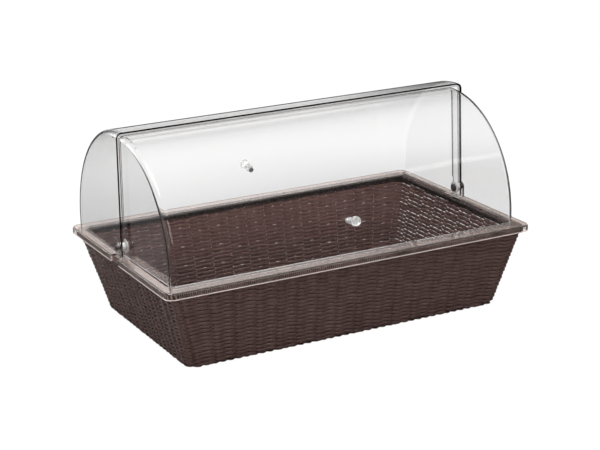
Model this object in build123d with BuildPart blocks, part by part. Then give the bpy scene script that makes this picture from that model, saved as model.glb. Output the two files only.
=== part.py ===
"""Countertop bread display bin: a woven GN 1/1 basket under a clear roll-top cover.

Millimetres. X runs along the long side, -Y is the front, Z is up, and the origin is the
centre of the base on the table. The cover's two hoods turn about one axis along X.
"""
import os
from math import asin, cos, radians, sin, sqrt

from build123d import *

# ---- driving dimensions -------------------------------------------------------------------
# basket
border_length = 530.0          # outside of the rim border, GN 1/1
border_width = 325.0
border_corner = 12.0
border_inner_corner = 3.0
border_band = 12.0             # width of the rim border, seen from above
border_leg = 1.5               # skin of the wrapped border
border_height = 10.0
basket_height = 113.0          # top of the rim border
base_length = 467.0            # outside of the woven wall where it meets the table
base_width = 278.0
base_corner = 17.0
base_border_band = 13.0
base_border_thickness = 2.2
mat_thickness = 3.0
mat_web = 1.8                  # the mat between its ribs
mat_rib_width = 4.0
mat_seat = 4.0                 # how far the mat laps over the base border
weave_skin = 1.6               # strands on one side of the stakes
weave_row_pitch = 5.4          # of the strands that show on one side
weave_relief = 0.8
stake_diameter = 2.4
long_stake_pitch = 14.4        # at the base, on the long sides
short_stake_pitch = 15.2
stake_spread = 0.04            # share by which the stakes stand further apart at the rim
long_end_spread = 0.08         # and what the last ones of a side add
short_end_spread = 0.1075
end_sharpness = 8
rod_diameter = 2.6             # steel rods inside the borders

# clear cover
rail_overhang = 5.0            # rail outside the rim border, on each side
rail_wall = 2.5
rail_skirt = 9.0               # height of the rail's outer lip
rail_corner = 12.0
rail_edge_round = 2.0
rail_side_band = 12.0          # width of the rail's top on the short sides
rail_long_band = 26.0          # and on the long sides
rail_inner_corner = 9.0
notch_front = 7.5              # the gap in each short side for its pivot bracket
notch_rear = 18.0
bridge_band = 5.5              # bridge that carries the rail's top past the gap, inside it
bridge_front = 17.0
bridge_rear = 27.0
bridge_corner = 3.0
pivot_height = 129.6
hood_wall = 2.5
rear_hood_margin = 13.8        # rear hood's crest inside the rail's long side
radial_step = 6.5              # front hood's wall inside the rear hood's
rear_hub_margin = 6.5          # rear hood's end panel inside the rail's short side
hub_step = 7.0                 # front hood's end panel inside the rear hood's
hood_taper = 1.8               # each end panel leans inward by this much at the rim
hood_corner = 8.0
hood_lap = 5.0                 # each hood reaches this far past the pivot plane
edge_bead_width = 2.5          # stiffening bead inside each hood's free edge
front_bead_depth = 1.5
front_bead_start = 16.0        # above the pivot
rear_bead_depth = 2.0
rear_bead_start = 7.0

# pivots
pin_diameter = 5.0
pin_head_diameter = 11.5
pin_head_thickness = 2.8
pin_head_round = 1.7
washer_diameter = 18.0
washer_thickness = 1.0
spacer_diameter = 12.0
lug_diameter = 14.0
lug_thickness = 3.0
foot_length = 10.0
cap_diameter = 7.5
cap_thickness = 2.0
cap_round = 0.8
cap_bore_depth = 1.0

# knobs
knob_angle = 12.0              # above the pivot plane, on each hood
knob_length = 20.0
knob_head_diameter = 13.0
knob_head_height = 6.5
knob_head_round = 2.2
knob_neck_diameter = 7.0
knob_neck_height = 6.0         # of the neck's narrowest place
knob_base_diameter = 9.5
knob_base_height = 1.2
screw_diameter = 4.0           # M4 socket head cap screw
screw_reach = 10.0             # thread inside the knob
screw_head_diameter = 7.0
screw_head_height = 4.0
screw_socket_width = 3.0       # hexagon, across flats
screw_socket_depth = 2.0

# clearances
rest_gap = 0.3                 # between pieces that rest on each other and lift off
turn_gap = 0.3                 # beside a turning hood
pin_clearance = 0.05           # running fit, on the radius
screw_clearance = 0.25         # screw hole in a hood, on the radius
seat_gap = 0.1                 # flat seat on a hood's curved wall
stake_clearance = 0.2
stake_end_gap = 0.6

# ---- sizes that follow --------------------------------------------------------------------
wall_thickness = 2 * weave_skin + stake_diameter + 2 * stake_clearance
wall_overhang = border_band - border_leg - rest_gap - wall_thickness
rim_underside = basket_height - border_height
rail_underside = basket_height + rest_gap
rail_top = rail_underside + rail_wall
hood_bottom = rail_top + rest_gap
hub_radius = pivot_height - hood_bottom
rail_length = border_length + 2 * rail_overhang
rail_width = border_width + 2 * rail_overhang
rear_hood_radius = rail_width / 2 - rear_hood_margin
front_hood_radius = rear_hood_radius - radial_step
rear_hub_x = rail_length / 2 - rear_hub_margin
front_hub_x = rear_hub_x - hub_step
rod_level = basket_height - border_leg - rest_gap - rod_diameter / 2
weave_foot = base_border_thickness
weave_head = rod_level - rod_diameter / 2 - rest_gap
weave_rows = round((weave_head - weave_foot) / weave_row_pitch)
bracket_inner_x = rail_length / 2 - rail_side_band
lug_x = rear_hub_x + turn_gap
lug_outer_x = lug_x + lug_thickness
washer_x = front_hub_x - hood_wall - turn_gap
pin_head_x = washer_x - washer_thickness

pivot_axis = Axis((0, 0, pivot_height), (1, 0, 0))
long_plane = Plane(origin=(0, 0, pivot_height), x_dir=(1, 0, 0), z_dir=(0, -1, 0))
end_plane = Plane(origin=(0, 0, pivot_height), x_dir=(0, 1, 0), z_dir=(1, 0, 0))


# ---- basket -------------------------------------------------------------------------------
def wall_size(height, inset):
    """Length, width and corner radius of the flared wall at a height, inset from its face."""
    share = height / rim_underside
    top_length = border_length - 2 * wall_overhang
    top_width = border_width - 2 * wall_overhang
    top_corner = border_corner - wall_overhang
    length = base_length + (top_length - base_length) * share
    width = base_width + (top_width - base_width) * share
    corner = base_corner + (top_corner - base_corner) * share
    return length - 2 * inset, width - 2 * inset, corner - inset


def flared_solid(insets):
    """The wall's filled shape, through its insets at even steps from foot to head."""
    step = (weave_head - weave_foot) / (len(insets) - 1)
    with BuildPart() as solid:
        for index, inset in enumerate(insets):
            height = weave_foot + index * step
            with BuildSketch(Plane.XY.offset(height)):
                RectangleRounded(*wall_size(height, inset))
        loft(ruled=True)
    return solid.part


def woven_skin(outer_insets, inner_insets):
    """A thin woven skin of the flared wall, open at the top and the bottom."""
    with BuildPart() as skin:
        add(flared_solid(outer_insets))
        add(flared_solid(inner_insets), mode=Mode.SUBTRACT)
    return skin.part


def ring_rod(length, width, corner, level):
    """A closed rod of round section that follows a rounded rectangle."""
    with BuildPart() as rod:
        with BuildLine(Plane.XY.offset(level)) as path:
            with BuildSketch(Plane.XY.offset(level), mode=Mode.PRIVATE) as loop:
                RectangleRounded(length, width, corner)
            add(loop.sketch.face().outer_wire())
        with BuildSketch(Plane(origin=path.wire() @ 0, z_dir=path.wire() % 0)):
            Circle(rod_diameter / 2)
        sweep(path=path.wire(), transition=Transition.RIGHT)
    return rod.part


def stake_places(side, pitch, end_spread, height):
    """Where the stakes of one side stand along it; the outer ones fan out most."""
    foot_size = wall_size(0, wall_thickness / 2)
    reach = foot_size[side] / 2 - foot_size[2]
    gaps = round(2 * reach / pitch)
    places = []
    for index in range(gaps + 1):
        share = 2 * index / gaps - 1
        spread = stake_spread + end_spread * share**end_sharpness
        places.append(share * reach * (1 + spread * height / rim_underside))
    return places


def stakes_from(feet, heads):
    """Round stakes from foot points to head points."""
    with BuildPart() as row:
        for foot, head in zip(feet, heads):
            with BuildSketch(Plane(origin=foot, z_dir=head - foot)):
                Circle(stake_diameter / 2)
            extrude(amount=(head - foot).length)
    return row.part


def stake_row(side, pitch, end_spread, turn):
    """The stakes of one side, inside the woven wall."""
    ends = []
    for height in (stake_foot, stake_head):
        outward = wall_size(height, wall_thickness / 2)[1 - side] / 2
        ends.append([Vector(place, -outward, height).rotate(Axis.Z, turn)
                     for place in stake_places(side, pitch, end_spread, height)])
    return stakes_from(*ends)


def corner_row():
    """One stake in the middle of each of the wall's corners."""
    ends = []
    for height in (stake_foot, stake_head):
        length, width, corner = wall_size(height, wall_thickness / 2)
        short_of_edge = corner * (1 - cos(radians(45)))
        x, y = length / 2 - short_of_edge, width / 2 - short_of_edge
        ends.append([Vector(x, -y, height), Vector(x, y, height),
                     Vector(-x, y, height), Vector(-x, -y, height)])
    return stakes_from(*ends)


with BuildPart() as base_border:
    with BuildSketch():
        RectangleRounded(*wall_size(0, 0))
    with BuildSketch(Plane.XY.offset(base_border_thickness)):
        RectangleRounded(*wall_size(base_border_thickness, 0))
    loft(ruled=True)
    with BuildSketch():
        RectangleRounded(*wall_size(0, base_border_band))
    extrude(amount=base_border_thickness, mode=Mode.SUBTRACT)

base_rod_inset = wall_thickness + rest_gap + rod_diameter / 2
base_rod = ring_rod(*wall_size(base_border_thickness, base_rod_inset),
                    base_border_thickness + rod_diameter / 2)

with BuildPart() as base_mat:
    mat_size = wall_size(0, base_border_band - mat_seat)
    web_level = base_border_thickness + (mat_thickness - mat_web) / 2
    with BuildSketch(Plane.XY.offset(web_level)):
        RectangleRounded(*mat_size)
    extrude(amount=mat_web)
    with BuildSketch(Plane.XY.offset(base_border_thickness)):
        for place in stake_places(0, long_stake_pitch, long_end_spread, 0):
            with Locations((place, 0)):
                Rectangle(mat_rib_width, mat_size[1])
        RectangleRounded(*mat_size, mode=Mode.INTERSECT)
    extrude(amount=mat_thickness)

inner_face = wall_thickness - weave_skin
outer_weave = woven_skin([weave_relief, 0] * weave_rows + [weave_relief], [weave_skin] * 2)
inner_weave = woven_skin([inner_face] * 2, [wall_thickness - weave_relief, wall_thickness]
                         * weave_rows + [wall_thickness - weave_relief])

stake_foot = weave_foot + stake_end_gap
stake_head = weave_head - stake_end_gap
stakes = {
    "front_stakes": stake_row(0, long_stake_pitch, long_end_spread, 0),
    "right_stakes": stake_row(1, short_stake_pitch, short_end_spread, 90),
    "rear_stakes": stake_row(0, long_stake_pitch, long_end_spread, 180),
    "left_stakes": stake_row(1, short_stake_pitch, short_end_spread, 270),
    "corner_stakes": corner_row(),
}

rod_inset = border_band / 2
rim_rod = ring_rod(border_length - 2 * rod_inset, border_width - 2 * rod_inset,
                   border_corner - rod_inset, rod_level)

with BuildPart() as rim_border:
    with BuildSketch(Plane.XY.offset(rim_underside)):
        RectangleRounded(border_length, border_width, border_corner)
    extrude(amount=border_height)
    top_edges = rim_border.edges().group_by(Axis.Z)[-1]
    fillet(top_edges, border_leg)
    with BuildSketch(Plane.XY.offset(rim_underside)):
        RectangleRounded(border_length - 2 * border_band, border_width - 2 * border_band,
                         border_inner_corner)
    extrude(amount=border_height, mode=Mode.SUBTRACT)
    with BuildSketch(Plane.XY.offset(rim_underside)):
        RectangleRounded(border_length - 2 * border_leg, border_width - 2 * border_leg,
                         border_corner - border_leg)
        inner_leg = border_band - border_leg
        RectangleRounded(border_length - 2 * inner_leg, border_width - 2 * inner_leg,
                         border_inner_corner + border_leg, mode=Mode.SUBTRACT)
    extrude(amount=border_height - border_leg, mode=Mode.SUBTRACT)


# ---- clear rail ---------------------------------------------------------------------------
with BuildPart() as cover_rail:
    with BuildSketch(Plane.XY.offset(rail_top - rail_skirt)):
        RectangleRounded(rail_length, rail_width, rail_corner)
    extrude(amount=rail_skirt)
    fillet(cover_rail.edges().group_by(Axis.Z)[-1], rail_edge_round)
    with BuildSketch(Plane.XY.offset(rail_top - rail_skirt)):
        RectangleRounded(rail_length - 2 * rail_wall, rail_width - 2 * rail_wall,
                         rail_corner - rail_wall)
    extrude(amount=rail_skirt - rail_wall, mode=Mode.SUBTRACT)
    with BuildSketch(Plane.XY.offset(rail_underside)):
        RectangleRounded(2 * bracket_inner_x, rail_width - 2 * rail_long_band,
                         rail_inner_corner)
        bridge_centre = (bridge_rear - bridge_front) / 2
        with Locations((bracket_inner_x, bridge_centre), (-bracket_inner_x, bridge_centre)):
            RectangleRounded(2 * bridge_band, bridge_front + bridge_rear, bridge_corner,
                             mode=Mode.SUBTRACT)
    extrude(amount=rail_wall, mode=Mode.SUBTRACT)
    notch_x = rail_length / 2 - rail_side_band / 2
    notch_centre = (notch_rear - notch_front) / 2
    with BuildSketch(Plane.XY.offset(rail_top - rail_skirt)):
        with Locations((notch_x, notch_centre), (-notch_x, notch_centre)):
            Rectangle(rail_side_band, notch_front + notch_rear)
    extrude(amount=rail_skirt, mode=Mode.SUBTRACT)


# ---- hoods --------------------------------------------------------------------------------
def barrel(hub_x, radius, inset):
    """A closed barrel about the pivot axis; its ends are flat at the hub, then lean inward."""
    hub = hub_x - inset
    rim = hub_x - hood_taper - inset
    with BuildPart() as solid:
        with BuildSketch(long_plane) as section:
            Polygon((-hub, 0), (-hub, hub_radius), (-rim, radius - inset),
                    (rim, radius - inset), (hub, hub_radius), (hub, 0), align=None)
            fillet(section.vertices().group_by(Axis.Y)[-1], hood_corner - inset)
        revolve(axis=pivot_axis)
    return solid.part


def side_outline(hub_x, radius, side):
    """End view of a hood: down to the rail, past the pivot plane by the lap, round at the hub."""
    outside = side * (radius + hood_wall)
    lap = -side * hood_lap
    bend = asin(hood_lap / hub_radius) / 2
    with BuildSketch(end_plane.offset(-hub_x)) as outline:
        with BuildLine():
            Polyline((0, -hub_radius), (outside, -hub_radius), (outside, radius + hood_wall),
                     (lap, radius + hood_wall), (lap, -sqrt(hub_radius**2 - hood_lap**2)))
            ThreePointArc((lap, -sqrt(hub_radius**2 - hood_lap**2)),
                          (-side * hub_radius * sin(bend), -hub_radius * cos(bend)),
                          (0, -hub_radius))
        make_face()
    return outline.sketch


def knob_plane(radius, side):
    """Plane on a hood's outer wall at the knob, its normal pointing out along the knob."""
    out = Vector(0, side * cos(radians(knob_angle)), sin(radians(knob_angle)))
    return Plane(origin=Vector(0, 0, pivot_height) + out * radius, x_dir=(1, 0, 0), z_dir=out)


def hood(hub_x, radius, side, bead_depth, bead_start):
    """One rolling hood with its edge bead, its pin holes and its knob hole."""
    bead_top = radius - hood_wall / 2
    with BuildPart() as bead:
        add(barrel(hub_x, radius, hood_wall / 2))
        add(barrel(hub_x, radius, hood_wall + bead_depth), mode=Mode.SUBTRACT)
        with BuildSketch(end_plane.offset(-hub_x)):
            with Locations((-side * (hood_lap - edge_bead_width / 2),
                            (bead_start + bead_top) / 2)):
                Rectangle(edge_bead_width, bead_top - bead_start)
        extrude(amount=2 * hub_x, mode=Mode.INTERSECT)
    with BuildPart() as shell:
        add(barrel(hub_x, radius, 0))
        add(barrel(hub_x, radius, hood_wall), mode=Mode.SUBTRACT)
        add(bead.part)
        add(side_outline(hub_x, radius, side))
        extrude(amount=2 * hub_x, dir=(1, 0, 0), mode=Mode.INTERSECT)
        with BuildSketch(end_plane.offset(-hub_x)):
            Circle(pin_diameter / 2 + pin_clearance)
        extrude(amount=2 * hub_x, mode=Mode.SUBTRACT)
        with BuildSketch(knob_plane(radius, side)):
            Circle(screw_diameter / 2 + screw_clearance)
        extrude(amount=2 * hood_wall, both=True, mode=Mode.SUBTRACT)
    return shell.part


def knob(radius, side):
    """A turned pull knob: a flared base, a slim neck, a rounded head and a screw bore."""
    seat = knob_plane(radius + seat_gap, side)
    base_radius, head_radius = knob_base_diameter / 2, knob_head_diameter / 2
    head_start = knob_length - knob_head_height
    with BuildPart() as turned:
        with BuildSketch(Plane(origin=seat.origin, x_dir=(1, 0, 0), z_dir=-seat.y_dir)) as half:
            with BuildLine():
                Polyline((0, knob_length), (0, 0), (base_radius, 0),
                         (base_radius, knob_base_height))
                Spline((base_radius, knob_base_height),
                       (knob_neck_diameter / 2, knob_neck_height), (head_radius, head_start))
                Polyline((head_radius, head_start), (head_radius, knob_length), (0, knob_length))
            make_face()
            fillet(half.vertices().group_by(Axis.Y)[-1].sort_by(Axis.X)[-1], knob_head_round)
        revolve(axis=Axis(seat.origin, seat.z_dir))
        with BuildSketch(seat):
            Circle(screw_diameter / 2)
        extrude(amount=screw_reach, mode=Mode.SUBTRACT)
    return turned.part


def knob_screw(radius, side):
    """The cap screw that holds a knob from inside its hood."""
    under_head = knob_plane(radius - hood_wall - seat_gap, side)
    shank_length = hood_wall + 2 * seat_gap + screw_reach
    with BuildPart() as screw:
        with BuildSketch(under_head):
            Circle(screw_diameter / 2)
        extrude(amount=shank_length)
        with BuildSketch(under_head.offset(-screw_head_height)):
            Circle(screw_head_diameter / 2)
        extrude(amount=screw_head_height)
        with BuildSketch(under_head.offset(-screw_head_height)):
            RegularPolygon(screw_socket_width / 2, 6, major_radius=False)
        extrude(amount=screw_socket_depth, mode=Mode.SUBTRACT)
    return screw.part


hoods = {
    "front_hood": hood(front_hub_x, front_hood_radius, -1, front_bead_depth, front_bead_start),
    "rear_hood": hood(rear_hub_x, rear_hood_radius, 1, rear_bead_depth, rear_bead_start),
}
knobs = {
    "front_knob": knob(front_hood_radius, -1),
    "front_knob_screw": knob_screw(front_hood_radius, -1),
    "rear_knob": knob(rear_hood_radius, 1),
    "rear_knob_screw": knob_screw(rear_hood_radius, 1),
}


# ---- pivots, right side; the left side is their mirror image ------------------------------
def disc(start_x, end_x, diameter, mode=Mode.ADD):
    """Add a disc on the pivot axis between two stations to the open part."""
    with BuildSketch(end_plane.offset(start_x)) as circle:
        Circle(diameter / 2)
    extrude(circle.sketch, amount=end_x - start_x, mode=mode)


def bore(start_x, end_x, diameter):
    """Cut a hole along the pivot axis between two stations in the open part."""
    disc(start_x, end_x, diameter, mode=Mode.SUBTRACT)


with BuildPart() as pivot_bracket_right:
    with BuildSketch(Plane.XY.offset(rail_underside)):
        with Locations((bracket_inner_x + foot_length / 2, 0)):
            Rectangle(foot_length, lug_diameter)
    extrude(amount=rail_wall)
    drop = pivot_height - rail_underside
    with BuildSketch(end_plane.offset(lug_x)):
        Circle(lug_diameter / 2)
        with Locations((0, -drop / 2)):
            Rectangle(lug_diameter, drop)
    extrude(amount=lug_thickness)
    bore(lug_x, lug_outer_x, pin_diameter + 2 * pin_clearance)

with BuildPart() as pivot_pin_right:
    disc(pin_head_x - pin_head_thickness, pin_head_x, pin_head_diameter)
    dome_edge = pivot_pin_right.edges().filter_by(GeomType.CIRCLE).sort_by(Axis.X)[0]
    fillet(dome_edge, pin_head_round)
    disc(pin_head_x, lug_outer_x + cap_bore_depth, pin_diameter)

with BuildPart() as hub_washer_right:
    disc(pin_head_x, washer_x, washer_diameter)
    bore(pin_head_x, washer_x, pin_diameter + 2 * pin_clearance)

with BuildPart() as hood_spacer_right:
    spacer_start = front_hub_x + turn_gap
    spacer_end = rear_hub_x - hood_wall - turn_gap
    disc(spacer_start, spacer_end, spacer_diameter)
    bore(spacer_start, spacer_end, pin_diameter + 2 * pin_clearance)

with BuildPart() as pin_cap_right:
    disc(lug_outer_x, lug_outer_x + cap_thickness, cap_diameter)
    cap_edge = pin_cap_right.edges().filter_by(GeomType.CIRCLE).sort_by(Axis.X)[-1]
    fillet(cap_edge, cap_round)
    bore(lug_outer_x, lug_outer_x + cap_bore_depth, pin_diameter)

pivots = {}
for name, right in (("pivot_bracket", pivot_bracket_right), ("pivot_pin", pivot_pin_right),
                    ("hub_washer", hub_washer_right), ("hood_spacer", hood_spacer_right),
                    ("pin_cap", pin_cap_right)):
    with BuildPart() as left:
        mirror(right.part, about=Plane.YZ)
    pivots[name + "_right"] = right.part
    pivots[name + "_left"] = left.part

# ---- write every piece --------------------------------------------------------------------
pieces = {
    "base_border": base_border.part,
    "base_rod": base_rod,
    "base_mat": base_mat.part,
    "outer_weave": outer_weave,
    "inner_weave": inner_weave,
    **stakes,
    "rim_rod": rim_rod,
    "rim_border": rim_border.part,
    "cover_rail": cover_rail.part,
    **pivots,
    **hoods,
    **knobs,
}
os.makedirs("parts", exist_ok=True)
for name, piece in pieces.items():
    piece.label = name
    export_step(piece, f"parts/{name}.step")
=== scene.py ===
"""Countertop bread display bin, dressed: a woven basket, a clear rail and two clear hoods.

The wall, the rim, the foot and the floor of the basket are modelled strand by strand in place
of the plain CAD nodes. The other pieces keep their CAD shapes and get materials.
"""
from math import cos, pi, radians, sin, sqrt

import bpy
import numpy as np
from mathutils import Matrix, Vector


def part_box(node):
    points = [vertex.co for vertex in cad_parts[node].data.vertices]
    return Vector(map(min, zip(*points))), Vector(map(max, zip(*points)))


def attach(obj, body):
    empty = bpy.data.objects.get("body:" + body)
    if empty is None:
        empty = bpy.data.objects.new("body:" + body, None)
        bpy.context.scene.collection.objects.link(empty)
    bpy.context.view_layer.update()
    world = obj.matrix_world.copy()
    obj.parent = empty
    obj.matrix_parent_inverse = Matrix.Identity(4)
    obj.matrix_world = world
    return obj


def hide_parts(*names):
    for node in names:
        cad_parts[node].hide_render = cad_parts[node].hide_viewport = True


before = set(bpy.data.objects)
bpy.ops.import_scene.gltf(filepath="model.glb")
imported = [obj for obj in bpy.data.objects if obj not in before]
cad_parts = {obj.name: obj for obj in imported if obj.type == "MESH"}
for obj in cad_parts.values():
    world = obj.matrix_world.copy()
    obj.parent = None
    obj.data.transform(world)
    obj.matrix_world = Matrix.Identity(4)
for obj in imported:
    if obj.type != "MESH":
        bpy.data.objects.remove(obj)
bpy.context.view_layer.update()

# ---- sizes in metres ----------------------------------------------------------------------
RIM_LOW, RIM_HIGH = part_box("rim_border")
BASE_LOW, BASE_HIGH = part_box("base_border")
MAT_LOW, MAT_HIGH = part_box("base_mat")
WALL_LOW, WALL_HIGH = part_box("outer_weave")
RAIL_LOW, RAIL_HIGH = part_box("cover_rail")
FRONT_HOOD_REAR_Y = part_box("front_hood")[1][1]
REAR_HOOD_FRONT_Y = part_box("rear_hood")[0][1]

RIM_BAND = 0.012
RIM_CORNER = 0.012
BASE_BAND = 0.013
WALL_THICKNESS = 0.006
WALL_TOP_INSET = 0.0042          # wall face inside the rim border
WALL_TOP_HEIGHT = RIM_LOW[2]

# The wall's outer face: half length, half width and corner radius.
WALL_FOOT = (0.2335, 0.139, 0.017)
WALL_TOP = (RIM_HIGH[0] - WALL_TOP_INSET, RIM_HIGH[1] - WALL_TOP_INSET,
            RIM_CORNER - WALL_TOP_INSET)

LONG_STAKES = 31
SHORT_STAKES = 17
STAKE_SPREAD = 0.04              # how much further apart the stakes stand at the rim
LONG_END_SPREAD = 0.08           # and what the last ones on each side add
SHORT_END_SPREAD = 0.1075
END_SHARPNESS = 8                # the higher, the fewer stakes it reaches

ROW_PITCH = 0.0027
STRAND_HEIGHT = 0.0027           # where strands cross; they spread where they lie free
STRAND_FREE_HEIGHT = 0.0052
STRAND_DEPTH = 0.0018
STRAND_SIDES = 8
WEAVE_REACH = 0.0020             # of a strand's centre line from the middle of the wall
STRAND_DIP = 0.80                # how far it sinks back between two stakes, 1 is to the middle
STAKES_PER_REPEAT = 4            # a strand passes outside two stakes, then inside two
STEPS_PER_STAKE = 8

# Unevenness of hand weaving, as waves: size, frequency and shift from one strand to the next.
STRAND_TENSION = ((0.07, 17, 2.3), (0.05, 41, 1.7))
STRAND_WANDER = ((0.00016, 9, 1.9), (0.00012, 23, 0.7))
FLOOR_TENSION = ((0.06, 1, 1),)
FLOOR_WANDER = ((0.0001, 0.9, 2.1),)

RIB_PITCH = 0.0029               # strand wound round the rim
RIB_DEPTH = 0.0013
RIB_ROUNDNESS = 0.98             # 1 gives half circles with sharp grooves between them
RIB_STEPS = 10
RIM_SIDES = 20
RIM_SQUARENESS = 3.2             # 2 is an oval section, more is squarer
INNER_PAINTED_SHADE = 0.40                # painted shade: how much darker the rim's inner side is painted, for the shade it lies in

PLAIT_PITCH = 0.034
PLAIT_STRANDS = 3
PLAIT_STRAND = (0.0046, 0.0012)  # width and thickness
PLAIT_STEPS = 16
PLAIT_SIDES = 8

FLOOR_RIB = (0.004, 0.0011)      # width and thickness
FLOOR_RIB_SIDES = 8
FLOOR_STRAND = (0.0026, 0.00095)
FLOOR_STRAND_SIDES = 6

# Edges of the clear pieces, each as a narrow band round it. The rail's two bands are painted
# light: a painted highlight along its lower edge and a painted bright band on its top face.
FRONT_HOOD_EDGE = (FRONT_HOOD_REAR_Y - 0.0004, FRONT_HOOD_REAR_Y + 0.0010)
REAR_HOOD_EDGE = (REAR_HOOD_FRONT_Y - 0.0010, REAR_HOOD_FRONT_Y + 0.0008)
RAIL_LOWER_EDGE_HIGHLIGHT = (RAIL_LOW[2] - 0.0001, RAIL_LOW[2] + 0.0008)
RAIL_TOP_FACE_PAINTED_LIGHT = (RAIL_HIGH[2] - 0.0010, RAIL_HIGH[2] + 0.0002)

# ---- meshes -------------------------------------------------------------------------------
ALONG_X = np.array((1.0, 0.0, 0.0))
ALONG_Y = np.array((0.0, 1.0, 0.0))
UP = np.array((0.0, 0.0, 1.0))


def oval(width, height, count):
    """Points of an oval section, each as its two coordinates."""
    angles = np.arange(count) * 2 * pi / count
    return np.column_stack((width / 2 * np.cos(angles), height / 2 * np.sin(angles)))


def tube(centres, across, upward, section, closed=True):
    """Vertices and faces of a section swept along a row of centres.

    The section's coordinates lie along across and upward: each is one direction, or one for
    each centre. The section can also differ from centre to centre.
    """
    count, sides = len(centres), section.shape[-2]
    across, upward = (np.broadcast_to(axis, centres.shape) for axis in (across, upward))
    section = np.broadcast_to(section, (count, sides, 2))
    points = (centres[:, None] + section[..., :1] * across[:, None]
              + section[..., 1:] * upward[:, None])
    ring = np.arange(count if closed else count - 1)[:, None]
    next_ring = (ring + 1) % count
    corner = np.arange(sides)[None]
    next_corner = (corner + 1) % sides
    quads = np.stack((ring * sides + corner, ring * sides + next_corner,
                      next_ring * sides + next_corner, next_ring * sides + corner), axis=-1)
    faces = quads.reshape(-1, 4).tolist()
    if not closed:
        faces.append(list(range(sides))[::-1])
        faces.append([(count - 1) * sides + i for i in range(sides)])
    return points.reshape(-1, 3), faces


def piece(name, tubes, material, body, replaces):
    """One object made of tubes; it rides on a body and stands for CAD nodes."""
    vertices, faces, start = [], [], 0
    for points, tube_faces in tubes:
        vertices.append(points)
        faces.extend([index + start for index in face] for face in tube_faces)
        start += len(points)
    mesh = bpy.data.meshes.new(name)
    mesh.from_pydata(np.concatenate(vertices).tolist(), [], faces)
    mesh.validate()
    mesh.shade_smooth()
    mesh.materials.append(material)
    thing = bpy.data.objects.new(name, mesh)
    bpy.context.scene.collection.objects.link(thing)
    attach(thing, body)
    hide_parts(*replaces)
    return thing


def loop_length(half_x, half_y, corner):
    """Length of a rounded rectangle's outline."""
    return 4 * (half_x + half_y) - 8 * corner + 2 * pi * corner


def on_loop(stations, half_x, half_y, corner):
    """Points and outward normals of a rounded rectangle at distances along it.

    Distance 0 is the left end of the front side's straight run, and it grows toward +X.
    """
    run_x, run_y = half_x - corner, half_y - corner
    arc = corner * pi / 2
    starts = np.cumsum([0, 2 * run_x, arc, 2 * run_y, arc, 2 * run_x, arc, 2 * run_y, arc])
    along = np.mod(stations, starts[-1])
    part = np.clip(np.searchsorted(starts, along, side="right") - 1, 0, 7)
    side, straight, local = part // 2, part % 2 == 0, along - starts[part]
    angle = -pi / 2 + side * pi / 2 + np.where(straight, 0, local / corner)
    normals = np.column_stack((np.cos(angle), np.sin(angle)))
    begin = np.array([(-run_x, -half_y), (half_x, -run_y), (run_x, half_y), (-half_x, run_y)])
    toward = np.array([(1, 0), (0, 1), (-1, 0), (0, -1)])
    centre = np.array([(run_x, -run_y), (run_x, run_y), (-run_x, run_y), (-run_x, -run_y)])
    points = np.where(straight[:, None], begin[side] + toward[side] * local[:, None],
                      centre[side] + corner * normals)
    return points, normals


def lift(flat, heights):
    """Flat points at a height, or each at its own."""
    return np.column_stack((flat, np.broadcast_to(heights, len(flat))))


def unevenness(waves, along, strand):
    """The sum of a few slow waves along a strand."""
    return sum(size * np.sin(frequency * along + shift * strand)
               for size, frequency, shift in waves)


# ---- node trees ---------------------------------------------------------------------------
COMMON_NOISE = (0.3, 0.7)        # most values of a noise texture lie between these


class Nodes:
    """A tree of shader nodes, with short calls to add and join them."""

    def __init__(self, tree, output):
        self.tree = tree
        self.tree.nodes.clear()
        self.output = self.add(output)

    def add(self, kind, **inputs):
        node = self.tree.nodes.new(kind)
        for socket, value in inputs.items():
            self.set(node, socket.replace("_", " "), value)
        return node

    def set(self, node, socket, value):
        if isinstance(value, bpy.types.NodeSocket):
            self.tree.links.new(value, node.inputs[socket])
        else:
            node.inputs[socket].default_value = value

    def fill(self, node, *values):
        """Sets a node's inputs in their order."""
        for index, value in enumerate(values):
            self.set(node, index, value)
        return node

    def maths(self, operation, *values):
        node = self.add("ShaderNodeMath")
        node.operation = operation
        return self.fill(node, *values).outputs[0]

    def product(self, first, *others):
        for other in others:
            first = self.maths("MULTIPLY", first, other)
        return first

    def fade(self, value, start, end):
        """0 to 1, smoothly, as a value goes from start to end."""
        node = self.add("ShaderNodeMapRange", Value=value, From_Min=start, From_Max=end)
        node.interpolation_type = "SMOOTHSTEP"
        return node.outputs["Result"]

    def axes(self, coordinates):
        """The X, Y and Z of a texture coordinate."""
        vector = self.add("ShaderNodeTexCoord").outputs[coordinates]
        return self.add("ShaderNodeSeparateXYZ", Vector=vector).outputs

    def light_path(self):
        """Factors: seen directly or through clear plastic, reflected, seen through plastic."""
        path = self.add("ShaderNodeLightPath").outputs
        bounces = self.maths("ADD", path["Diffuse Depth"], path["Glossy Depth"])
        through = self.product(path["Is Transmission Ray"],
                               self.maths("LESS_THAN", bounces, 0.5))
        reflected = self.maths("GREATER_THAN", path["Glossy Depth"], 0.5)
        return self.maths("MAXIMUM", path["Is Camera Ray"], through), reflected, through


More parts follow.
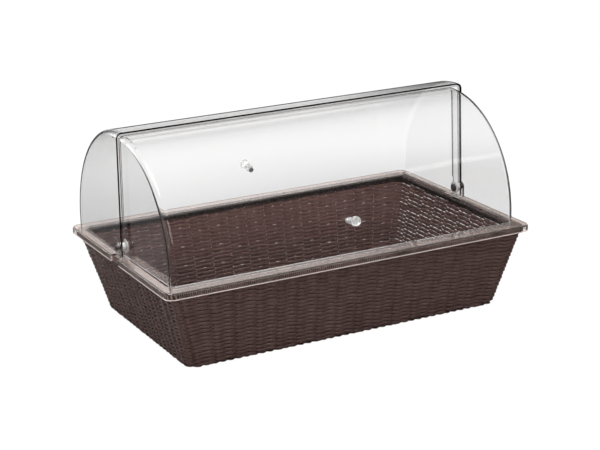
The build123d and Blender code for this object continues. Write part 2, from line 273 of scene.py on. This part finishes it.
class Material(Nodes):
    """A new material around a Principled shader."""

    def __init__(self, name):
        self.material = bpy.data.materials.new(name)
        self.material.use_nodes = True
        super().__init__(self.material.node_tree, "ShaderNodeOutputMaterial")

    def noise(self, scale, detail=3.0):
        place = self.add("ShaderNodeTexCoord").outputs["Object"]
        return self.add("ShaderNodeTexNoise", Vector=place, Scale=scale,
                        Detail=detail).outputs["Fac"]

    def ramp(self, factor, *stops):
        node = self.add("ShaderNodeValToRGB", Fac=factor)
        while len(node.color_ramp.elements) < len(stops):
            node.color_ramp.elements.new(0.5)
        for element, (position, colour) in zip(node.color_ramp.elements, stops):
            element.position = position
            element.color = (*colour, 1)
        return node.outputs["Color"]

    def mottle(self, noise, *colours):
        """Two colours, mixed by a noise."""
        return self.ramp(noise, *zip(COMMON_NOISE, colours))

    def levels(self, noise, low, high):
        """A value that goes from low to high with a noise."""
        return self.add("ShaderNodeMapRange", Value=noise, From_Min=COMMON_NOISE[0],
                        From_Max=COMMON_NOISE[1], To_Min=low, To_Max=high).outputs["Result"]

    def bump(self, height, strength, distance):
        return self.add("ShaderNodeBump", Height=height, Strength=strength,
                        Distance=distance).outputs["Normal"]

    def shade(self, **inputs):
        """A Principled shader on the material's output."""
        self.principled = self.add("ShaderNodeBsdfPrincipled", **inputs)
        self.set(self.output, "Surface", self.principled.outputs["BSDF"])
        return self.material

    def switch(self, factor, shader):
        """The Principled shader where the factor is 0, another shader where it is 1."""
        mix = self.fill(self.add("ShaderNodeMixShader"), factor,
                        self.principled.outputs["BSDF"], shader.outputs[0])
        self.set(self.output, "Surface", mix.outputs["Shader"])


# ---- materials ----------------------------------------------------------------------------
PAINTED_SHADE_ATTRIBUTE = "groove"                # name of the rim mesh's own value: how much painted shade each point gets


def rattan(name, dark, light, polished, worn, painted_shade_colour=None):
    """Dark plastic rattan strand: streaked colour, satin, with a fine drawn grain.

    Given a colour for painted shade, the grooves between wound turns and the rim's inner side are
    painted dark, as shade.
    """
    nodes = Material(name)
    streaks = nodes.noise(scale=60, detail=4.0)
    if painted_shade_colour is None:
        colour = nodes.mottle(streaks, dark, light)
    else:
        # Painted shade: the mesh's value darkens the grooves and the rim's inner side.
        depth = nodes.add("ShaderNodeAttribute")
        depth.attribute_name = PAINTED_SHADE_ATTRIBUTE
        # The streaks average 0.15, which is where the ramp puts a crest's light colour (painted
        # light on the rim); the mesh's value adds painted shade toward the dark and the shade
        # colours.
        streaks_and_painted_shade = nodes.maths("MULTIPLY_ADD", streaks, 0.3, depth.outputs["Fac"])
        colour = nodes.ramp(streaks_and_painted_shade, (0.15, light), (0.28, dark), (0.60, painted_shade_colour))
    roughness = nodes.levels(nodes.noise(scale=500), polished, worn)
    grain = nodes.bump(nodes.noise(scale=2600, detail=2.0), strength=0.25, distance=0.0002)
    return nodes.shade(Base_Color=colour, Roughness=roughness, Normal=grain,
                       Specular_IOR_Level=0.5, Specular_Tint=(1.0, 0.84, 0.78, 1))


def clear_plastic(name, tint, shadow, roughness, absorption=0.0, clarity=1.0, edges=()):
    """Clear moulded plastic, a little wavy, that tints the light of the lamps behind it.

    Edges are bands of the surface along an axis: (axis, (low, high), tint, clarity).
    """
    nodes = Material(name)
    wave = nodes.bump(nodes.noise(scale=8, detail=1.0), strength=0.02, distance=0.002)
    nodes.shade(Base_Color=(*tint, 1), Roughness=roughness, Normal=wave, IOR=1.42,
                Transmission_Weight=clarity)
    if edges:
        place = nodes.axes("Object")
        band, tints, clarities = 0.0, [(0.0, tint)], [(0.0, (clarity,) * 3)]
        for index, (axis, (low, high), edge_tint, edge_clarity) in enumerate(edges, 1):
            share = index / len(edges)
            off_middle = nodes.maths("SUBTRACT", place[axis], (low + high) / 2)
            inside = nodes.maths("LESS_THAN", nodes.maths("ABSOLUTE", off_middle),
                                 (high - low) / 2)
            band = nodes.maths("MULTIPLY_ADD", inside, share, band)
            tints.append((share, edge_tint))
            clarities.append((share, (edge_clarity,) * 3))
        nodes.set(nodes.principled, "Base Color", nodes.ramp(band, *tints))
        if any(edge[-1] != clarity for edge in edges):
            nodes.set(nodes.principled, "Transmission Weight", nodes.ramp(band, *clarities))
    shadow_ray = nodes.add("ShaderNodeLightPath").outputs["Is Shadow Ray"]
    nodes.switch(shadow_ray, nodes.add("ShaderNodeBsdfTransparent", Color=(*shadow, 1)))
    if absorption:
        volume = nodes.add("ShaderNodeVolumeAbsorption", Color=(0.0, 0.0, 0.0, 1),
                           Density=absorption)
        nodes.set(nodes.output, "Volume", volume.outputs["Volume"])
    return nodes.material


def moulded(name, dark, light):
    """Solid moulded plastic with a faint cloudiness and a satin, slightly uneven skin."""
    nodes = Material(name)
    colour = nodes.mottle(nodes.noise(scale=300, detail=2.0), dark, light)
    skin = nodes.bump(nodes.noise(scale=1800), strength=0.1, distance=0.0002)
    return nodes.shade(Base_Color=colour, Normal=skin,
                       Roughness=nodes.levels(nodes.noise(scale=900), low=0.28, high=0.42))


def steel(name):
    """Bright zinc-plated or drawn steel."""
    nodes = Material(name)
    colour = nodes.mottle(nodes.noise(scale=400), (0.50, 0.50, 0.51), (0.68, 0.68, 0.69))
    return nodes.shade(Base_Color=colour, Metallic=1.0,
                       Roughness=nodes.levels(nodes.noise(scale=1200), low=0.2, high=0.38))


def hood_plastic(name, edge, edge_tint):
    """The hoods' clear plastic, with a darker free edge."""
    return clear_plastic(name, (0.998, 0.998, 0.998), shadow=(0.95, 0.95, 0.95),
                         roughness=0.01, absorption=3.5, edges=[("Y", edge, edge_tint, 1.0)])


RATTAN = rattan("rattan", dark=(0.050, 0.027, 0.024), light=(0.068, 0.040, 0.036),
                polished=0.17, worn=0.28)
# Rim rattan: the light crest colour is painted light on the lit outer ribs. The near-black last
# colour is painted shade in the grooves and on the inner side.
RIM_RATTAN = rattan("rim_rattan", dark=(0.046, 0.026, 0.022), light=(0.19, 0.14, 0.125),
                    polished=0.22, worn=0.34, painted_shade_colour=(0.004, 0.003, 0.003))
FRONT_CLEAR = hood_plastic("front_clear", FRONT_HOOD_EDGE, (0.55, 0.53, 0.53))
REAR_CLEAR = hood_plastic("rear_clear", REAR_HOOD_EDGE, (0.50, 0.48, 0.47))
RAIL = clear_plastic("rail_plastic", (0.92, 0.88, 0.86), shadow=(0.82, 0.82, 0.82),
                     roughness=0.01, absorption=15.0,
                     # Painted light: a painted highlight along the rail's lower edge and a lighter
                     # painted band on its top face.
                     edges=[("Z", RAIL_LOWER_EDGE_HIGHLIGHT, (0.84, 0.76, 0.73), 0.65),
                            ("Z", RAIL_TOP_FACE_PAINTED_LIGHT, (0.88, 0.75, 0.69), 0.94)])
KNOB = clear_plastic("knob_plastic", (0.95, 0.95, 0.94), shadow=(0.8, 0.8, 0.8),
                     roughness=0.03, clarity=0.85)
NYLON = moulded("spacer_plastic", dark=(0.30, 0.29, 0.28), light=(0.42, 0.41, 0.40))
DARK = moulded("dark_pin", dark=(0.012, 0.010, 0.010), light=(0.028, 0.024, 0.023))
STEEL = steel("steel")


# ---- woven wall ---------------------------------------------------------------------------
def wall_loop(height, inset):
    """Half sizes and corner radius of the flared wall at a height, inset from its face."""
    share = height / WALL_TOP_HEIGHT
    return [foot + (top - foot) * share - inset for foot, top in zip(WALL_FOOT, WALL_TOP)]


def stake_stations(height):
    """Where the wall's loop at a height meets each stake, as distances along the loop."""
    half_x, half_y, corner = wall_loop(height, WALL_THICKNESS / 2)
    foot_x, foot_y, foot_corner = wall_loop(0, WALL_THICKNESS / 2)
    arc = corner * pi / 2
    long_side = (LONG_STAKES, foot_x, half_x, LONG_END_SPREAD)
    short_side = (SHORT_STAKES, foot_y, half_y, SHORT_END_SPREAD)
    stations, start = [], 0.0
    for count, foot, half, end_spread in (long_side, short_side) * 2:
        share = np.linspace(-1, 1, count)
        spread = STAKE_SPREAD + end_spread * share ** END_SHARPNESS
        off_middle = share * (foot - foot_corner) * (1 + spread * height / WALL_TOP_HEIGHT)
        run = half - corner
        stations.extend(start + run + off_middle)
        start += 2 * run + arc
        stations.append(start - arc / 2)
    return np.array(stations)


def wall_strand(row):
    """One strand round the wall; the next row goes the opposite way past each stake."""
    height = WALL_LOW[2] + STRAND_HEIGHT / 2 + row * ROW_PITCH
    half_x, half_y, corner = wall_loop(height, WALL_THICKNESS / 2)
    stations = stake_stations(height)
    stakes = len(stations)
    stations = np.append(stations, stations[0] + loop_length(half_x, half_y, corner))
    passed = np.arange(stakes * STEPS_PER_STAKE) / STEPS_PER_STAKE    # stakes, at each step
    along = np.interp(passed, np.arange(stakes + 1), stations)
    flat, normals = on_loop(along, half_x, half_y, corner)
    phase = 2 * pi * (passed - 0.5) / STAKES_PER_REPEAT + pi * (row % 2)
    # 1 where the strand passes outside a stake and -1 where it passes inside.
    swing = (np.cos(phase) - STRAND_DIP * np.cos(3 * phase)) * sqrt(2) / (1 + STRAND_DIP)
    turn = 2 * pi * passed / stakes
    reach = WEAVE_REACH * (1 + unevenness(STRAND_TENSION, turn, row)) * swing
    wander = unevenness(STRAND_WANDER, turn, row)
    centres = lift(flat + normals * reach[:, None], height + wander)
    spread = (STRAND_FREE_HEIGHT - STRAND_HEIGHT) * np.minimum(np.abs(swing), 1)
    stretch = np.column_stack((np.ones(len(spread)), STRAND_HEIGHT + spread))
    section = oval(STRAND_DEPTH, 1, STRAND_SIDES) * stretch[:, None]
    return tube(centres, lift(normals, 0), UP, section)


ROWS = int((WALL_HIGH[2] - WALL_LOW[2]) / ROW_PITCH)
piece("woven_wall", [wall_strand(row) for row in range(ROWS)], RATTAN, "basket",
      ["outer_weave", "inner_weave"])


# ---- wound rim ----------------------------------------------------------------------------
def wound_rim():
    """The tube of a strand wound round and round the rim, and the painted shade of each point:
    darker grooves and a darker inner side.
    """
    half_x, half_y = RIM_HIGH[0] - RIM_BAND / 2, RIM_HIGH[1] - RIM_BAND / 2
    corner = RIM_CORNER - RIM_BAND / 2
    length = loop_length(half_x, half_y, corner)
    turns = round(length / RIB_PITCH)
    steps = turns * RIB_STEPS
    flat, normals = on_loop(np.arange(steps) * length / steps, half_x, half_y, corner)
    angles = np.arange(RIM_SIDES) * 2 * pi / RIM_SIDES
    circle = np.column_stack((np.cos(angles), np.sin(angles)))
    powers = np.abs(circle) ** RIM_SQUARENESS
    square = circle * powers.sum(axis=1, keepdims=True) ** (-1 / RIM_SQUARENESS)
    wind = turns * np.arange(steps)[:, None] / steps + angles[None] / (2 * pi)
    off_crest = 2 * np.mod(wind, 1) - 1
    groove = 1 - np.sqrt(1 - RIB_ROUNDNESS * off_crest ** 2)
    half_section = np.array((RIM_BAND, RIM_HIGH[2] - RIM_LOW[2])) / 2
    section = (half_section - RIB_DEPTH * groove[..., None]) * square
    centres = lift(flat, (RIM_HIGH[2] + RIM_LOW[2]) / 2)
    # Painted shade: the rim's inner side is painted darker, as if shaded.
    inner_painted_shade = np.clip(-np.cos(angles), 0, 1)
    return tube(centres, lift(normals, 0), UP, section), groove + INNER_PAINTED_SHADE * inner_painted_shade


rim_tube, rim_painted_shade = wound_rim()
rim = piece("wound_rim", [rim_tube], RIM_RATTAN, "basket", ["rim_border"])
rim.data.attributes.new(PAINTED_SHADE_ATTRIBUTE, "FLOAT", "POINT").data.foreach_set("value", rim_painted_shade.ravel())


# ---- plaited foot and woven floor ---------------------------------------------------------
def foot_strand(index):
    """One of the flat strands plaited round the underside's edge."""
    half_x, half_y, corner = wall_loop(0, BASE_BAND / 2)
    length = loop_length(half_x, half_y, corner)
    repeats = round(length / PLAIT_PITCH)
    steps = repeats * PLAIT_STEPS
    flat, normals = on_loop(np.arange(steps) * length / steps, half_x, half_y, corner)
    phase = 2 * pi * (repeats * np.arange(steps) / steps + index / PLAIT_STRANDS)
    width, thickness = PLAIT_STRAND
    sway = (BASE_BAND - width) / 2 * np.sin(phase)
    foot_height = BASE_HIGH[2] - BASE_LOW[2]
    rise = (foot_height - thickness) / 2 * np.sin(2 * phase)
    centres = lift(flat + normals * sway[:, None], foot_height / 2 + rise)
    return tube(centres, lift(normals, 0), UP, oval(width, thickness, PLAIT_SIDES))


def floor_tubes():
    """Flat ribs from front to back at the stakes, with strands woven over one and under one."""
    half_x, half_y = MAT_HIGH[0], MAT_HIGH[1]
    level = (MAT_LOW[2] + MAT_HIGH[2]) / 2
    foot_x, _, foot_corner = wall_loop(0, WALL_THICKNESS / 2)
    ribs = np.linspace(-1, 1, LONG_STAKES) * (foot_x - foot_corner)
    rib_section = oval(*FLOOR_RIB, FLOOR_RIB_SIDES)
    tubes = []
    for x in ribs:
        ends = np.array([(x, -half_y, level), (x, half_y, level)])
        tubes.append(tube(ends, ALONG_X, UP, rib_section, closed=False))

    # Ribs that a strand has passed, starting and ending half a rib outside the outer ones.
    passed = np.linspace(-0.5, LONG_STAKES - 0.5, LONG_STAKES * STEPS_PER_STAKE + 1)
    along = np.interp(passed, np.arange(LONG_STAKES), ribs)
    before, beyond = passed < 0, passed > LONG_STAKES - 1
    along[before] = ribs[0] + passed[before] * 2 * (half_x + ribs[0])
    along[beyond] = ribs[-1] + (passed[beyond] - LONG_STAKES + 1) * 2 * (half_x - ribs[-1])
    strands = int(2 * half_y / ROW_PITCH)
    reach = (MAT_HIGH[2] - MAT_LOW[2] - FLOOR_STRAND[1]) / 2
    strand_section = oval(*FLOOR_STRAND, FLOOR_STRAND_SIDES)
    for strand in range(strands):
        y = -half_y + (strand + 0.5) * 2 * half_y / strands
        tension = 1 + unevenness(FLOOR_TENSION, passed, strand)
        wave = np.clip(np.cos(pi * passed + pi * (strand % 2)) * tension, -1, 1)
        centres = np.column_stack((along, y + unevenness(FLOOR_WANDER, passed, strand),
                                   level + reach * wave))
        tubes.append(tube(centres, ALONG_Y, UP, strand_section, closed=False))
    return tubes


piece("plaited_foot", [foot_strand(index) for index in range(PLAIT_STRANDS)], RATTAN, "basket",
      ["base_border"])
piece("woven_floor", floor_tubes(), RATTAN, "basket", ["base_mat"])

# ---- finishes of the CAD pieces -----------------------------------------------------------
FINISHES = {
    RATTAN: ["front_stakes", "right_stakes", "rear_stakes", "left_stakes", "corner_stakes"],
    FRONT_CLEAR: ["front_hood"],
    REAR_CLEAR: ["rear_hood"],
    RAIL: ["cover_rail", "pivot_bracket_right", "pivot_bracket_left"],
    KNOB: ["front_knob", "rear_knob"],
    NYLON: ["hub_washer_right", "hub_washer_left", "hood_spacer_right", "hood_spacer_left"],
    DARK: ["pivot_pin_right", "pivot_pin_left", "pin_cap_right", "pin_cap_left"],
    STEEL: ["front_knob_screw", "rear_knob_screw", "rim_rod", "base_rod"],
}
for material, names in FINISHES.items():
    for name in names:
        for slot in bpy.data.objects[name].material_slots:
            slot.material = material

# ---- paper the bin stands on --------------------------------------------------------------
PAPER_REACH = 12.0
PAPER_GLOW = 0.96                # what the camera sees, beside a little of the lamps' light
PAPER_LIT = (0.05, 0.05, 0.05)
PAPER_WHITE = (0.8, 0.8, 0.8)    # what lights the bin from below
PAPER_MIRRORED = (0.05, 0.05, 0.05)
PAPER_SHADE = 0.20               # taken from the glow near the bin, seen through clear plastic
SHADE_FROM, SHADE_TO = 0.70, 0.30  # metres from the rim, where that shade starts and is full


def paper_material():
    """White paper that glows evenly for the camera, and is dark in reflections."""
    nodes = Material("paper")
    plain, reflected, through = nodes.light_path()
    place = nodes.axes("Object")
    squares = []
    for axis, half in zip("XY", RIM_HIGH):
        past = nodes.maths("SUBTRACT", nodes.maths("ABSOLUTE", place[axis]), half)
        past = nodes.maths("MAXIMUM", past, 0.0)
        squares.append(nodes.product(past, past))
    away = nodes.maths("SQRT", nodes.maths("ADD", *squares))
    shade = nodes.product(nodes.fade(away, SHADE_FROM, SHADE_TO), through)
    glow = nodes.maths("MULTIPLY_ADD", shade, -PAPER_SHADE, PAPER_GLOW)
    lit = nodes.add("ShaderNodeBsdfDiffuse", Color=(*PAPER_LIT, 1))
    glowing = nodes.add("ShaderNodeEmission", Strength=glow)
    nodes.shade(Base_Color=nodes.ramp(reflected, (0.0, PAPER_WHITE), (1.0, PAPER_MIRRORED)),
                Roughness=0.9)
    nodes.switch(plain, nodes.fill(nodes.add("ShaderNodeAddShader"), lit.outputs[0],
                                   glowing.outputs[0]))
    return nodes.material


corners = [(x * PAPER_REACH, y * PAPER_REACH, 0) for x, y in ((-1, -1), (1, -1), (1, 1), (-1, 1))]
paper = bpy.data.meshes.new("floor")
paper.from_pydata(corners, [], [(0, 1, 2, 3)])
paper.materials.append(paper_material())
floor = bpy.data.objects.new("floor", paper)
bpy.context.scene.collection.objects.link(floor)

# ---- room ---------------------------------------------------------------------------------
# The room's own level of light, and what each part of it adds. A part fades in, from a start to
# an end, along the direction's X (to the right), Y (to the back) or Z (upward).
ROOM_LEVEL, ROOM_REFLECTED = 0.36, 0.08
CEILING_LEVEL, CEILING = 0.6, (0.55, 0.90)
ENDS_REFLECTED, ENDS = 0.55, (0.70, 0.92)
SKY_REFLECTED, SKY = 0.30, (0.45, 0.85)
BEHIND = (0.58, 0.82)            # the left and the right panel stand behind the bin
LEFT_LEVEL, LEFT_SIDE, LEFT_TOP = 2.2, (-0.20, -0.42), (0.60, 0.35)
RIGHT_ENDS = ((0.55, 0.45), (0.10, 0.25))
RIGHT_LOW_LEVEL, RIGHT_LOW_TOP = 0.80, (0.36, 0.28)
RIGHT_LEVEL, RIGHT_BOTTOM, RIGHT_TOP = 1.3, (0.30, 0.36), (0.65, 0.45)
WHITE = (1, 1, 1, 1)


def studio():
    """A grey room with a lit ceiling and two lit panels behind the bin.

    The camera sees plain white, also through clear plastic; the rest lights the bin.
    """
    world = bpy.data.worlds.new("studio")
    world.use_nodes = True
    nodes = Nodes(world.node_tree, "ShaderNodeOutputWorld")
    direction = nodes.axes("Generated")
    side, depth, height = direction["X"], direction["Y"], direction["Z"]
    left = nodes.product(nodes.fade(side, *LEFT_SIDE), nodes.fade(height, *LEFT_TOP), LEFT_LEVEL)
    upper = nodes.product(nodes.fade(height, *RIGHT_BOTTOM), nodes.fade(height, *RIGHT_TOP),
                          RIGHT_LEVEL)
    panel = nodes.maths("MULTIPLY_ADD", nodes.fade(height, *RIGHT_LOW_TOP), RIGHT_LOW_LEVEL, upper)
    right = nodes.product(*(nodes.fade(side, *end) for end in RIGHT_ENDS), panel)
    behind = nodes.product(nodes.fade(depth, *BEHIND), nodes.maths("ADD", left, right))
    plain, reflected, _ = nodes.light_path()
    ends = nodes.product(nodes.fade(nodes.maths("ABSOLUTE", side), *ENDS), ENDS_REFLECTED)
    sky = nodes.maths("MULTIPLY_ADD", nodes.fade(height, *SKY), SKY_REFLECTED,
                      ROOM_REFLECTED - ROOM_LEVEL)
    room = nodes.maths("MULTIPLY_ADD", reflected, nodes.maths("ADD", ends, sky), ROOM_LEVEL)
    level = nodes.maths("MULTIPLY_ADD", nodes.fade(height, *CEILING), CEILING_LEVEL,
                        nodes.maths("ADD", behind, room))
    surround = nodes.add("ShaderNodeBackground", Color=WHITE, Strength=level)
    bright = nodes.add("ShaderNodeBackground", Color=WHITE)
    mix = nodes.fill(nodes.add("ShaderNodeMixShader"), plain, surround.outputs[0],
                     bright.outputs[0])
    nodes.set(nodes.output, "Surface", mix.outputs[0])
    return world


bpy.context.scene.world = studio()


# ---- lamps and camera ---------------------------------------------------------------------
def softbox(name, position, aim, size, power, mirrored=True, spread=pi):
    """A rectangular lamp that isn't seen itself, and may be left out of reflections."""
    lamp = bpy.data.lights.new(name, "AREA")
    lamp.shape = "RECTANGLE"
    lamp.size, lamp.size_y = size
    lamp.energy = power
    lamp.spread = spread
    box = bpy.data.objects.new(name, lamp)
    toward = Vector(aim) - Vector(position)
    box.matrix_world = (Matrix.Translation(position)
                        @ toward.to_track_quat("-Z", "Y").to_matrix().to_4x4())
    box.visible_camera = False
    box.visible_transmission = False
    box.visible_glossy = mirrored
    bpy.context.scene.collection.objects.link(box)


softbox("overhead", (-0.85, -0.3, 2.1), aim=(-0.1, 0, 0.1), size=(1.5, 0.8), power=66)
softbox("front_left", (-0.45, -2.35, 1.2), aim=(0, 0, 0.08), size=(1.2, 1.0), power=14)
softbox("fill", (0.9, -1.0, 1.9), aim=(0, 0.1, 0.05), size=(1.4, 1.4), power=12,
        mirrored=False)
softbox("strip", (0, -0.7, 1.0), aim=(0, 0.155, 0.13), size=(1.2, 0.06), power=1.6,
        mirrored=False, spread=radians(9))

# The photo's camera, as fitted to its straight edges with the rim's size held fixed.
AZIMUTH, ELEVATION, ROLL = radians(-27.503), radians(17.528), radians(-1.402)
TARGET, DISTANCE = Vector((0.00222, 0.0, 0.11519)), 2.3144
LENS_MM = 101.04


def photo_camera():
    """A camera that looks at the target and is rolled a little about its line of sight."""
    back = Vector((sin(AZIMUTH) * cos(ELEVATION), -cos(AZIMUTH) * cos(ELEVATION), sin(ELEVATION)))
    level = (-back).cross(Vector((0, 0, 1))).normalized()
    upright = level.cross(-back)
    right = cos(ROLL) * level + sin(ROLL) * upright
    top = -sin(ROLL) * level + cos(ROLL) * upright
    camera = bpy.data.objects.new("camera", bpy.data.cameras.new("camera"))
    camera.data.lens = LENS_MM
    camera.matrix_world = (Matrix.Translation(TARGET + DISTANCE * back)
                           @ Matrix((right, top, back)).transposed().to_4x4())
    bpy.context.scene.collection.objects.link(camera)
    return camera


bpy.context.scene.camera = photo_camera()
bpy.context.scene.view_settings.view_transform = "Standard"
